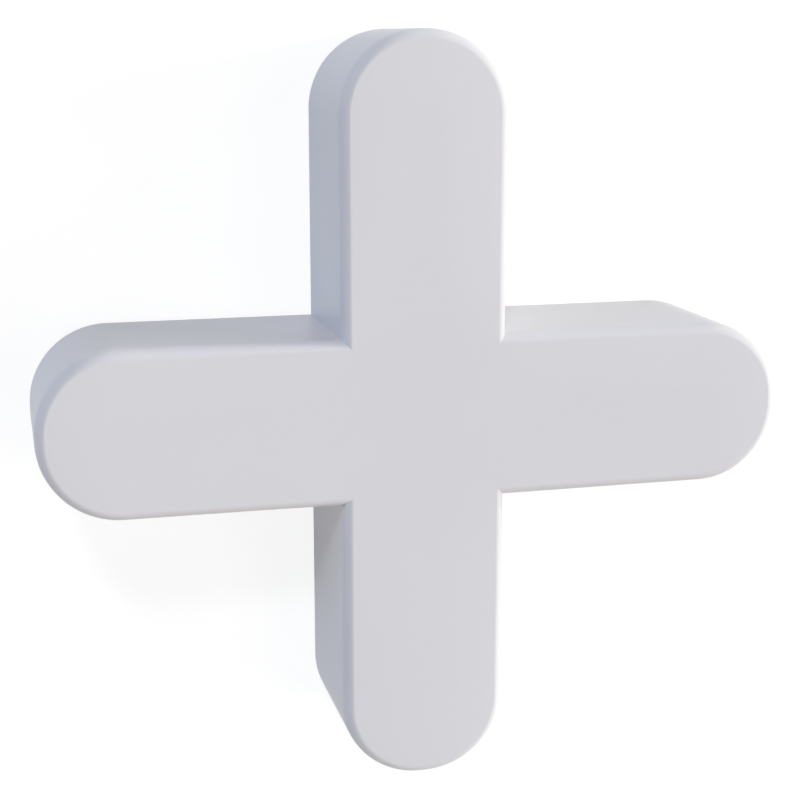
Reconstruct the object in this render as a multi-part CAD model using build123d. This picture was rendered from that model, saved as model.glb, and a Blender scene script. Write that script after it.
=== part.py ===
from build123d import *
import os

# Tile spacer: one moulded plastic cross that lies flat between the corners of four tiles.
# Frame: the origin is the centre of the back face, +X and +Y run along the arms,
# and +Z points out of the front face.

# Driving dimensions, in millimetres
joint_width = 6.0  # width of every arm, which is the joint left between two tiles
span = 27.1  # from one arm's tip to the tip of the arm opposite
thickness = 6.2  # from the back face to the front face
tip_flat = 0.2  # short flat across the tip of each arm, between its two round corners
rim_radius = 0.4  # rolled edge that runs round the outline on both faces

# Where the pieces are written
parts_folder = "parts"


def bar_outline():
    """Plan of one straight bar, two opposite arms long, whose ends are all but half round."""
    end_corner_radius = (joint_width - tip_flat) / 2
    return RectangleRounded(span, joint_width, end_corner_radius)


def cross_outline():
    """Plan of the whole cross: two equal bars through one centre, square to each other.

    The four inner corners stay sharp, so that the square corner of a tile seats in them.
    """
    bar = bar_outline()
    return bar + Rot(Z=90) * bar


def roll_rims(block):
    """Round the front and the back edge of the outline, mitred in the four inner corners."""
    levels = block.edges().group_by(Axis.Z)
    return fillet(levels[0] + levels[-1], rim_radius)


def spacer_body():
    """The solid cross, plain on both faces, with straight walls and a rolled rim on each face."""
    block = extrude(cross_outline(), thickness)
    return roll_rims(block)


def write_part(name, shape):
    """Save one piece as parts/NAME.step."""
    shape.label = name
    export_step(shape, os.path.join(parts_folder, name + ".step"))


os.makedirs(parts_folder, exist_ok=True)
write_part("spacer_body", spacer_body())
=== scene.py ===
import logging
import math
from dataclasses import dataclass
from enum import Enum
from typing import Any

import bpy
from mathutils import Matrix, Vector


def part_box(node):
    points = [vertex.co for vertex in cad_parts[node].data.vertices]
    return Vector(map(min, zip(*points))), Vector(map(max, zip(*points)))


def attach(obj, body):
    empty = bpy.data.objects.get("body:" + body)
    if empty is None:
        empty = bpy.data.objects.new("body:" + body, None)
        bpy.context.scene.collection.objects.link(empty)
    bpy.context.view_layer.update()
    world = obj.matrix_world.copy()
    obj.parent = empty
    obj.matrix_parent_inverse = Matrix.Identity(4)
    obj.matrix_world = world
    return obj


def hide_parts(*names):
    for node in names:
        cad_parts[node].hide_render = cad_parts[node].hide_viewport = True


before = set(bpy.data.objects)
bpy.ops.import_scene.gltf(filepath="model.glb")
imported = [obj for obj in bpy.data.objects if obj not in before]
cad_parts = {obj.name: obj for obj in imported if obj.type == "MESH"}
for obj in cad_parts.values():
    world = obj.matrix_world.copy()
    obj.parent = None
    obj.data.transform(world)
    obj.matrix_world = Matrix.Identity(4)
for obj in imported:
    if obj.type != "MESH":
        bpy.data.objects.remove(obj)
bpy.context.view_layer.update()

# A white plastic tile spacer that lies flat on a pale table under soft studio light.
# Sizes are in millimetres and angles in degrees, unless a name or a docstring says otherwise.

MM = 0.001
QUARTER_TURN = math.pi / 2

# Sockets of a Mix node that mixes colours: its other sockets have the same names
MIX_FACTOR = 0
MIX_FIRST_COLOUR = 6
MIX_SECOND_COLOUR = 7
MIXED_COLOUR = 2

log =logging.getLogger("tile_spacer")


def linear_colour(hex_code: str) -> tuple[float, float, float, float]:
    """Turn an sRGB hex colour into a linear colour.

    Args:
        hex_code: six hex digits, such as "D6D5DA".

    Returns:
        Linear red, green and blue, and an alpha of 1.
    """
    channels = [int(hex_code[start:start + 2], 16) / 255 for start in (0, 2, 4)]
    linear = [c / 12.92 if c <= 0.04045 else ((c + 0.055) / 1.055) ** 2.4 for c in channels]
    return (*linear, 1.0)


def direction(azimuth: float, elevation: float) -> Vector:
    """Give the direction of something far off.

    Args:
        azimuth: its turn from +X towards +Y.
        elevation: its rise above the table.

    Returns:
        The unit vector towards it.
    """
    turn = math.radians(azimuth)
    rise = math.radians(elevation)
    across = math.cos(rise)
    return Vector((across * math.cos(turn), across * math.sin(turn), math.sin(rise)))


def add_node(
    tree: bpy.types.NodeTree,
    kind: str,
    settings: dict[str, Any] | None = None,
    values: dict[str | int, Any] | None = None,
    links: dict[str | int, bpy.types.NodeSocket] | None = None,
) -> bpy.types.Node:
    """Add one shader node with its settings and links.

    Args:
        tree: the node tree that gets the node.
        kind: Blender's type name of the node.
        settings: properties of the node itself, by name.
        values: constants for its input sockets, by name, or by number where a name is shared.
        links: output sockets of other nodes, by the input socket that each one feeds.

    Returns:
        The new node.
    """
    node = tree.nodes.new(kind)
    for name, value in (settings or {}).items():
        setattr(node, name, value)
    for socket, value in (values or {}).items():
        node.inputs[socket].default_value = value
    for socket, source in (links or {}).items():
        tree.links.new(source, node.inputs[socket])
    return node


class Arm(Enum):
    """The four arms of the cross, numbered in quarter turns from the one that points along +X."""

    EAST = 0
    NORTH = 1
    WEST = 2
    SOUTH = 3

    def turned(self, x: float, y: float) -> Vector:
        """Turn a plan vector of the east arm to this arm."""
        quarter_turns = ((x, y), (-y, x), (-x, -y), (y, -x))
        return Vector(quarter_turns[self.value])


class Face(Enum):
    """The back and the front face, each by the way that it looks along Z."""

    BACK = -1
    FRONT = 1


class RayKind(Enum):
    """The kinds of ray that see the white background, by their Light Path output."""

    CAMERA = "Is Camera Ray"
    GLOSSY = "Is Glossy Ray"
    TRANSMISSION = "Is Transmission Ray"


@dataclass(frozen=True)
class OutlinePoint:
    """One point of the outline in plan.

    Attributes:
        place: where it is on the full outline.
        pull: how far it moves for each millimetre that the outline shrinks.
        faces_before: outward direction of the wall that ends at the point.
        faces_after: outward direction of the wall that starts at the point.
        crown: how much of the crown's fall the front face has there, from 0 to 1.
        crown_growth: how fast that share grows in plan, for each millimetre.
    """

    place: Vector
    pull: Vector
    faces_before: Vector
    faces_after: Vector
    crown: float
    crown_growth: Vector


@dataclass(frozen=True)
class SkinLevel:
    """One level of the skin: up the wall from the back face, and then in over the front face.

    Attributes:
        inset: how far it lies inside the full outline.
        height: its height above the back face, before the crown lowers it.
        lean: angle of its outward normal above the horizontal, in radians, without the crown.
        fall: how far a full crown lowers it.
        slope: how steeply a full crown falls outward there.
    """

    inset: float
    height: float
    lean: float
    fall: float
    slope: float


@dataclass(frozen=True)
class MouldedPolypropylene:
    """White polypropylene, injection moulded in a finely spark-eroded tool.

    The pigment makes it a cool, even white with no depth. The eroded tool leaves a satin skin
    that spreads a reflection wide, and slow flow into a thick section leaves that satin a little
    uneven. The colour and the gloss are close to uniform, as on any plain moulded block.
    """

    name: str = "moulded_white_polypropylene"
    pigment_thin: str = "D5D4D9"
    pigment_rich: str = "D7D6DB"
    refraction: float = 1.49  # typical of polypropylene
    roughness_low: float = 0.38
    roughness_high: float = 0.42
    pigment_cloud: float = 4.5  # width of a cloud of pigment
    flow_streak: float = 1.6  # width of a streak of flow
    erosion_grain: float = 0.11  # width of a grain: really 0.03, drawn coarser so that it shows
    erosion_depth: float = 0.0006  # depth of the pits as they are drawn

    def make(self) -> bpy.types.Material:
        """Build the material.

        Returns:
            The new material.
        """
        material = bpy.data.materials.new(self.name)
        material.use_nodes = True
        tree = material.node_tree
        tree.nodes.clear()
        place = add_node(tree, "ShaderNodeTexCoord").outputs["Object"]
        skin = add_node(
            tree,
            "ShaderNodeBsdfPrincipled",
            values={"IOR": self.refraction},
            links={
                "Base Color": self.pigment(tree, place),
                "Roughness": self.satin(tree, place),
                "Normal": self.erosion(tree, place),
            },
        )
        add_node(tree, "ShaderNodeOutputMaterial", links={"Surface": skin.outputs["BSDF"]})
        return material

    def pigment(
        self, tree: bpy.types.NodeTree, place: bpy.types.NodeSocket
    ) -> bpy.types.NodeSocket:
        """Colour the skin with broad, barely visible clouds of richer and thinner pigment.

        Args:
            tree: the material's node tree.
            place: where on the piece a point is.

        Returns:
            The socket that carries the colour.
        """
        clouds = add_node(
            tree,
            "ShaderNodeTexNoise",
            values={"Scale": 1 / (self.pigment_cloud * MM), "Detail": 3.0, "Roughness": 0.5},
            links={"Vector": place},
        )
        mixed = add_node(
            tree,
            "ShaderNodeMix",
            settings={"data_type": "RGBA"},
            values={
                MIX_FIRST_COLOUR: linear_colour(self.pigment_thin),
                MIX_SECOND_COLOUR: linear_colour(self.pigment_rich),
            },
            links={MIX_FACTOR: clouds.outputs["Fac"]},
        )
        return mixed.outputs[MIXED_COLOUR]

    def satin(
        self, tree: bpy.types.NodeTree, place: bpy.types.NodeSocket
    ) -> bpy.types.NodeSocket:
        """Make the skin a satin with soft streaks from the flow of the melt.

        Args:
            tree: the material's node tree.
            place: where on the piece a point is.

        Returns:
            The socket that carries the roughness.
        """
        streaks = add_node(
            tree,
            "ShaderNodeTexNoise",
            values={"Scale": 1 / (self.flow_streak * MM), "Detail": 2.0, "Distortion": 0.6},
            links={"Vector": place},
        )
        ranged = add_node(
            tree,
            "ShaderNodeMapRange",
            values={"To Min": self.roughness_low, "To Max": self.roughness_high},
            links={"Value": streaks.outputs["Fac"]},
        )
        return ranged.outputs["Result"]

    def erosion(
        self, tree: bpy.types.NodeTree, place: bpy.types.NodeSocket
    ) -> bpy.types.NodeSocket:
        """Pit the skin finely and evenly, as the spark-eroded tool leaves it.

        Args:
            tree: the material's node tree.
            place: where on the piece a point is.

        Returns:
            The socket that carries the normal.
        """
        grain = add_node(
            tree,
            "ShaderNodeTexNoise",
            values={"Scale": 1 / (self.erosion_grain * MM), "Detail": 1.5, "Roughness": 0.6},
            links={"Vector": place},
        )
        bump = add_node(
            tree,
            "ShaderNodeBump",
            values={"Strength": 1.0, "Distance": self.erosion_depth * MM},
            links={"Height": grain.outputs["Fac"]},
        )
        return bump.outputs["Normal"]


@dataclass
class SpacerCross:
    """The spacer: a flat cross with four equal arms, straight walls and a rolled rim on each face.

    Its span and thickness are those of the CAD node that it stands for, and its plan repeats the
    driving sizes of that node. Two fine things are its own. The rim is a quarter of an ellipse in
    place of a quarter of a circle, so that it turns quickly next to the face and slowly down the
    wall. Towards the arms' ends the front face falls a hair's breadth to its rim, which shades
    each arm softly from side to side.
    """

    node: str = "spacer_body"
    slot: str = "white_plastic"
    joint_width: float = 6.0
    tip_flat: float = 0.2
    rim_across: float = 0.36  # how far the rolled rim reaches in over each face
    rim_down: float = 0.55  # how far it reaches down the wall
    crown_fall: float = 0.045  # how far a full crown lowers the front edge
    crown_reach: float = 2.6  # how far in from the outline the crown starts to fall
    side_steps: int = 8  # facets along each straight side of an arm
    arc_steps: int = 48  # facets of each quarter-round corner of an arm's end
    rim_steps: int = 12  # facets across the rolled rim
    crown_steps: int = 8  # facets across the crown, from the rim inward
    finish: MouldedPolypropylene = MouldedPolypropylene()

    def __post_init__(self) -> None:
        """Take the span and the thickness from the CAD node, and work out the other sizes."""
        low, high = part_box(self.node)
        self.span = (high.x - low.x) / MM
        self.thickness = (high.z - low.z) / MM
        self.half_width = self.joint_width / 2
        self.tip_radius = self.half_width - self.tip_flat / 2
        self.side_length = self.span / 2 - self.tip_radius - self.half_width

    def arm_outline(self, arm: Arm) -> list[OutlinePoint]:
        """Walk round one arm, anticlockwise, from its first inner corner to its last side point.

        Args:
            arm: which arm.

        Returns:
            The inner corner, one side, the two quarter-round corners of the tip and the other side.
        """
        half_width = self.half_width
        radius = self.tip_radius
        corner = OutlinePoint(
            place=arm.turned(half_width, -half_width),
            pull=arm.turned(-1, 1),
            faces_before=arm.turned(1, 0),
            faces_after=arm.turned(0, -1),
            crown=0.0,
            crown_growth=Vector((0, 0)),
        )
        tip = []
        for side in (-1, 1):
            centre = arm.turned(self.span / 2 - radius, side * (half_width - radius))
            start = min(side, 0) * QUARTER_TURN
            for step in range(self.arc_steps + 1):
                angle = start + step / self.arc_steps * QUARTER_TURN
                outward = arm.turned(math.cos(angle), math.sin(angle))
                place = centre + radius * outward
                tip.append(OutlinePoint(place, -outward, outward, outward, 1.0, Vector((0, 0))))
        return [corner, *self.arm_side(arm, -1), *tip, *reversed(self.arm_side(arm, 1))]

    def arm_side(self, arm: Arm, side: int) -> list[OutlinePoint]:
        """Walk along one straight side of an arm, over which the crown grows from none to full.

        Args:
            arm: which arm.
            side: -1 for the side that comes first anticlockwise, 1 for the other.

        Returns:
            The points between the inner corner and the round tip, from the corner outward.
        """
        outward = arm.turned(0, side)
        points = []
        for step in range(1, self.side_steps):
            share = step / self.side_steps
            turn = share * QUARTER_TURN
            growth = arm.turned(math.cos(turn) * QUARTER_TURN / self.side_length, 0)
            along = self.half_width + share * self.side_length
            place = arm.turned(along, side * self.half_width)
            points.append(OutlinePoint(place, -outward, outward, outward, math.sin(turn), growth))
        return points

    def front_level(self, inset: float, height: float, lean: float) -> SkinLevel:
        """Make one level of the front rim or the front face, lowered by the crown.

        Args:
            inset: how far it lies inside the full outline.
            height: its height above the back face without the crown.
            lean: angle of its outward normal above the horizontal, in radians.

        Returns:
            The level, whose fall grows with the square of its distance from the crown's top.
        """
        share = (self.crown_reach - inset) / self.crown_reach
        fall = self.crown_fall * share**2
        slope = 2 * self.crown_fall * share / self.crown_reach
        return SkinLevel(inset, height, lean, fall, slope)

    def skin_levels(self) -> list[SkinLevel]:
        """List the levels of the skin: the back rim, the front rim, then the crown.

        Returns:
            Levels from the edge of the back face to where the front face is level.
        """
        rim = []
        for step in range(self.rim_steps + 1):
            turn = step / self.rim_steps * QUARTER_TURN
            inset = self.rim_across * (1 - math.cos(turn))
            depth = self.rim_down * (1 - math.sin(turn))
            lean = math.atan2(self.rim_across * math.sin(turn), self.rim_down * math.cos(turn))
            rim.append((inset, depth, lean))
        levels = [SkinLevel(inset, depth, -lean, 0.0, 0.0) for inset, depth, lean in reversed(rim)]
        for inset, depth, lean in rim:
            levels.append(self.front_level(inset, self.thickness - depth, lean))
        for step in range(1, self.crown_steps + 1):
            inset = self.rim_across + step / self.crown_steps * (self.crown_reach - self.rim_across)
            levels.append(self.front_level(inset, self.thickness, QUARTER_TURN))
        return levels

    def cap_rungs(self, arm: Arm, points_per_arm: int) -> list[tuple[int, int]]:
        """Pair the outline's points across one arm, from its root to its tip.

        Args:
            arm: which arm.
            points_per_arm: how many outline points each arm has.

        Returns:
            Outline indices, right-hand side first, that face each other across the arm.
        """
        first = arm.value * points_per_arm
        total = len(Arm) * points_per_arm
        rungs = points_per_arm // 2 + 1
        return [(first + rung, (first + points_per_arm - rung) % total) for rung in range(rungs)]

    def skin_normal(self, level: SkinLevel, point: OutlinePoint, facing: Vector) -> Vector:
        """Give the exact outward normal of the skin as it is built, crown included.

        Args:
            level: the level of the skin.
            point: the point of the outline.
            facing: outward direction of the wall in plan, which a corner has two of.

        Returns:
            The unit normal.
        """
        rise = math.sin(level.lean)
        sideways = facing * (math.cos(level.lean) + point.crown * level.slope * rise)
        sideways = sideways + point.crown_growth * level.fall * rise
        return Vector((sideways.x, sideways.y, rise)).normalized()

    def build(self) -> bpy.types.Object:
        """Build the cross as one closed mesh of quads with exact normals.

        Returns:
            The new object, linked to the scene.
        """
        outline = [point for arm in Arm for point in self.arm_outline(arm)]
        levels = self.skin_levels()
        around = len(outline)
        per_arm = around // len(Arm)

        vertices = []
        for level in levels:
            for point in outline:
                plan = point.place + level.inset * point.pull
                height = level.height - point.crown * level.fall
                vertices.append(Vector((plan.x, plan.y, height)) * MM)

        faces = []
        normals = []
        for row in range(len(levels) - 1):
            for start in range(around):
                end = (start + 1) % around
                corners = (
                    (row, start, outline[start].faces_after),
                    (row, end, outline[end].faces_before),
                    (row + 1, end, outline[end].faces_before),
                    (row + 1, start, outline[start].faces_after),
                )
                faces.append([level * around + index for level, index, _ in corners])
                for level, index, facing in corners:
                    normals.append(self.skin_normal(levels[level], outline[index], facing))

        for face in Face:
            row = 0 if face is Face.BACK else len(levels) - 1
            loops = [[arm.value * per_arm for arm in Arm]]
            for arm in Arm:
                rungs = self.cap_rungs(arm, per_arm)
                loops += [[near[0], far[0], far[1], near[1]] for near, far in zip(rungs, rungs[1:])]
            for loop in loops:
                faces.append([row * around + index for index in loop[::face.value]])
                normals += [Vector((0, 0, face.value))] * len(loop)

        mesh = bpy.data.meshes.new("spacer_cross")
        mesh.from_pydata(vertices, [], faces)
        mesh.shade_smooth()
        mesh.normals_split_custom_set(normals)
        cross = bpy.data.objects.new("spacer_cross", mesh)
        bpy.context.collection.objects.link(cross)
        return cross

    def dress(self, cross: bpy.types.Object) -> None:
        """Give the cross its plastic."""
        cross.data.materials.append(self.finish.make())

    def place(self, cross: bpy.types.Object) -> None:
        """Let the cross stand for the CAD node and ride on its body.

        Args:
            cross: the built cross.
        """
        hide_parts(self.node)
        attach(cross, "root")


def background_share(tree: bpy.types.NodeTree) -> bpy.types.NodeSocket:
    """Tell the rays that see the white background from the rays that carry light.

    Args:
        tree: the node tree of the floor or the world.

    Returns:
        A socket that is 1 for camera, glossy and transmission rays, and 0 for the rest.
    """
    path = add_node(tree, "ShaderNodeLightPath")
    share = path.outputs[RayKind.CAMERA.value]
    for kind in (RayKind.GLOSSY, RayKind.TRANSMISSION):
        either = add_node(
            tree,
            "ShaderNodeMath",
            settings={"operation": "MAXIMUM"},
            links={0: share, 1: path.outputs[kind.value]},
        )
        share = either.outputs["Value"]
    return share


@dataclass(frozen=True)
class SprayedMattLacquer:
    """White matt lacquer, sprayed on a board.

    It has no gloss, and its texture is too fine to see, so the eye gets an even pale field. To the
    background rays that field is white, with a faint shadow.
    """

    name: str = "sprayed_matt_lacquer"
    lit: str = "BCBCBC"  # colour that the light meets and bounces from
    shaded: str = "7C7C7C"  # the part of its look that a shadow can darken
    glow: float = 0.86  # the part that no shadow darkens, where 1 is white

    def make(self) -> bpy.types.Material:
        """Build the material.

        Returns:
            The new material.
        """
        material = bpy.data.materials.new(self.name)
        material.use_nodes = True
        tree = material.node_tree
        tree.nodes.clear()
        lit, shaded = (
            add_node(tree, "ShaderNodeBsdfDiffuse", values={"Color": linear_colour(paint)})
            for paint in (self.lit, self.shaded)
        )
        glow = add_node(tree, "ShaderNodeEmission", values={"Strength": self.glow})
        white = add_node(
            tree,
            "ShaderNodeAddShader",
            links={0: shaded.outputs["BSDF"], 1: glow.outputs["Emission"]},
        )
        seen = add_node(
            tree,
            "ShaderNodeMixShader",
            links={0: background_share(tree), 1: lit.outputs["BSDF"], 2: white.outputs["Shader"]},
        )
        add_node(tree, "ShaderNodeOutputMaterial", links={"Surface": seen.outputs["Shader"]})
        return material


@dataclass(frozen=True)
class PaleTable:
    """The plain table top under the spacer, which reads as white and keeps a soft shadow."""

    width: float = 4000.0
    gap: float = 0.01  # how far it lies below the back face, so that the two never coincide
    finish: SprayedMattLacquer = SprayedMattLacquer()

    def build(self) -> bpy.types.Object:
        """Build the table top.

        Returns:
            The new object.
        """
        half = self.width / 2 * MM
        level = -self.gap * MM
        corners = [(x * half, y * half, level) for x, y in ((-1, -1), (1, -1), (1, 1), (-1, 1))]
        mesh = bpy.data.meshes.new("pale_table")
        mesh.from_pydata(corners, [], [(0, 1, 2, 3)])
        mesh.materials.append(self.finish.make())
        table = bpy.data.objects.new("pale_table", mesh)
        bpy.context.collection.objects.link(table)
        return table


@dataclass(frozen=True)
class SoftLamp:
    """One far, wide lamp.

    Attributes:
        name: what the lamp does.
        azimuth: where it stands, from +X towards +Y.
        elevation: how high it stands above the table.
        level: light that a surface square to it sends back if it is pure white, where 1 is white.
        spread: how wide the lamp looks from the spacer.
        tint: sRGB hex colour of its light.
    """

    name: str
    azimuth: float
    elevation: float
    level: float
    spread: float
    tint: str

    def hang(self) -> bpy.types.Object:
        """Build the lamp, aimed at the spacer.

        The plastic reflects the white surroundings and not the lamp itself, whose glare would
        burn out a face that it grazes.

        Returns:
            The new lamp object.
        """
        lamp = bpy.data.lights.new(self.name, "SUN")
        lamp.energy = self.level * math.pi
        lamp.angle = math.radians(self.spread)
        lamp.color = linear_colour(self.tint)[:3]
        holder = bpy.data.objects.new(self.name, lamp)
        stand = direction(self.azimuth, self.elevation)
        holder.rotation_euler = stand.to_track_quat("Z", "Y").to_euler()
        holder.visible_glossy = False
        bpy.context.collection.objects.link(holder)
        return holder


@dataclass(frozen=True)
class Studio:
    """The soft light of the room: a white background and a few wide lamps that carry the light."""

    background: str = "FFFFFF"
    lamps: tuple[SoftLamp, ...] = (
        SoftLamp("key_from_right", 8.0, 24.0, 0.445, 8.0, "FFFEF9"),
        SoftLamp("wide_key_from_lower_right", 340.0, 30.0, 0.256, 24.0, "FFFCFB"),
        SoftLamp("grazing_light_from_right", 30.0, 4.0, 0.459, 8.0, "FFFFF8"),
        SoftLamp("light_from_top", 110.0, 46.0, 0.391, 8.0, "F8FAFF"),
        SoftLamp("fill_from_lower_right", 300.0, 15.0, 0.23, 20.0, "FFFCFD"),
        SoftLamp("overhead_right", 0.0, 68.0, 0.18, 24.0, "FFF3E1"),
        SoftLamp("high_fill_from_lower_left", 225.0, 48.0, 0.085, 24.0, "FCFFF8"),
        SoftLamp("cool_fill_from_left", 180.0, 30.0, 0.125, 24.0, "BEDFFF"),
        SoftLamp("cool_fill_from_top_left", 150.0, 15.0, 0.152, 20.0, "B6D3FF"),
        SoftLamp("warm_bounce_from_lower_left", 240.0, 4.0, 0.078, 8.0, "FFC470"),
    )

    def light(self) -> None:
        """Hang the lamps and set the white background, which only the background rays see."""
        for lamp in self.lamps:
            lamp.hang()
            log.info("%s: azimuth %.0f, elevation %.0f", lamp.name, lamp.azimuth, lamp.elevation)
        world = bpy.data.worlds.new("studio_surround")
        bpy.context.scene.world = world
        world.use_nodes = True
        tree = world.node_tree
        tree.nodes.clear()
        white = add_node(
            tree,
            "ShaderNodeBackground",
            values={"Color": linear_colour(self.background)},
            links={"Strength": background_share(tree)},
        )
        add_node(tree, "ShaderNodeOutputWorld", links={"Surface": white.outputs["Background"]})


@dataclass(frozen=True)
class ViewCamera:
    """The camera at the reference view: close, and well above the table.

    Attributes:
        aim: the point at the middle of the picture.
        azimuth: where the camera stands from the aim, from +X towards +Y.
        elevation: how high it stands above the aim.
        distance: how far it stands from the aim.
        lens: focal length.
        sensor_width: width of the sensor behind that lens.
        clip_start: nearest distance that it sees.
    """

    aim: tuple[float, float, float] = (-0.18241, 0.09003, 3.1)
    azimuth: float = 137.118
    elevation: float = 71.039
    distance: float = 59.61
    lens: float = 72.148
    sensor_width: float = 36.0
    clip_start: float = 1.0

    def build(self) -> bpy.types.Object:
        """Build the camera, with +Y up in its picture, and make it the scene's camera.

        Returns:
            The new camera object.
        """
        lens = bpy.data.cameras.new("view_camera")
        lens.lens = self.lens
        lens.sensor_width = self.sensor_width
        lens.clip_start = self.clip_start * MM
        camera = bpy.data.objects.new("view_camera", lens)
        back = direction(self.azimuth, self.elevation)
        right = Vector((0, 1, 0)).cross(back).normalized()
        up = back.cross(right)
        turn = Matrix((right, up, back)).transposed().to_4x4()
        stand = (Vector(self.aim) + back * self.distance) * MM
        camera.matrix_world = Matrix.Translation(stand) @ turn
        bpy.context.collection.objects.link(camera)
        bpy.context.scene.camera = camera
        return camera


def report_piece(piece: bpy.types.Object) -> None:
    """Log one piece with its size and its number of faces."""
    sizes = ", ".join(f"{length / MM:.2f}" for length in piece.dimensions)
    log.info("piece %s: %s mm, %d faces", piece.name, sizes, len(piece.data.polygons))


def main() -> None:
    """Build the spacer, the table, the light and the camera in turn, and report each piece."""
    logging.basicConfig(level=logging.INFO, format="%(name)s: %(message)s")
    bpy.context.scene.view_settings.view_transform = "Standard"
    spacer = SpacerCross()
    cross = spacer.build()
    spacer.dress(cross)
    spacer.place(cross)
    report_piece(cross)
    PaleTable().build()
    Studio().light()
    ViewCamera().build()


if __name__ == "__main__":
    main()
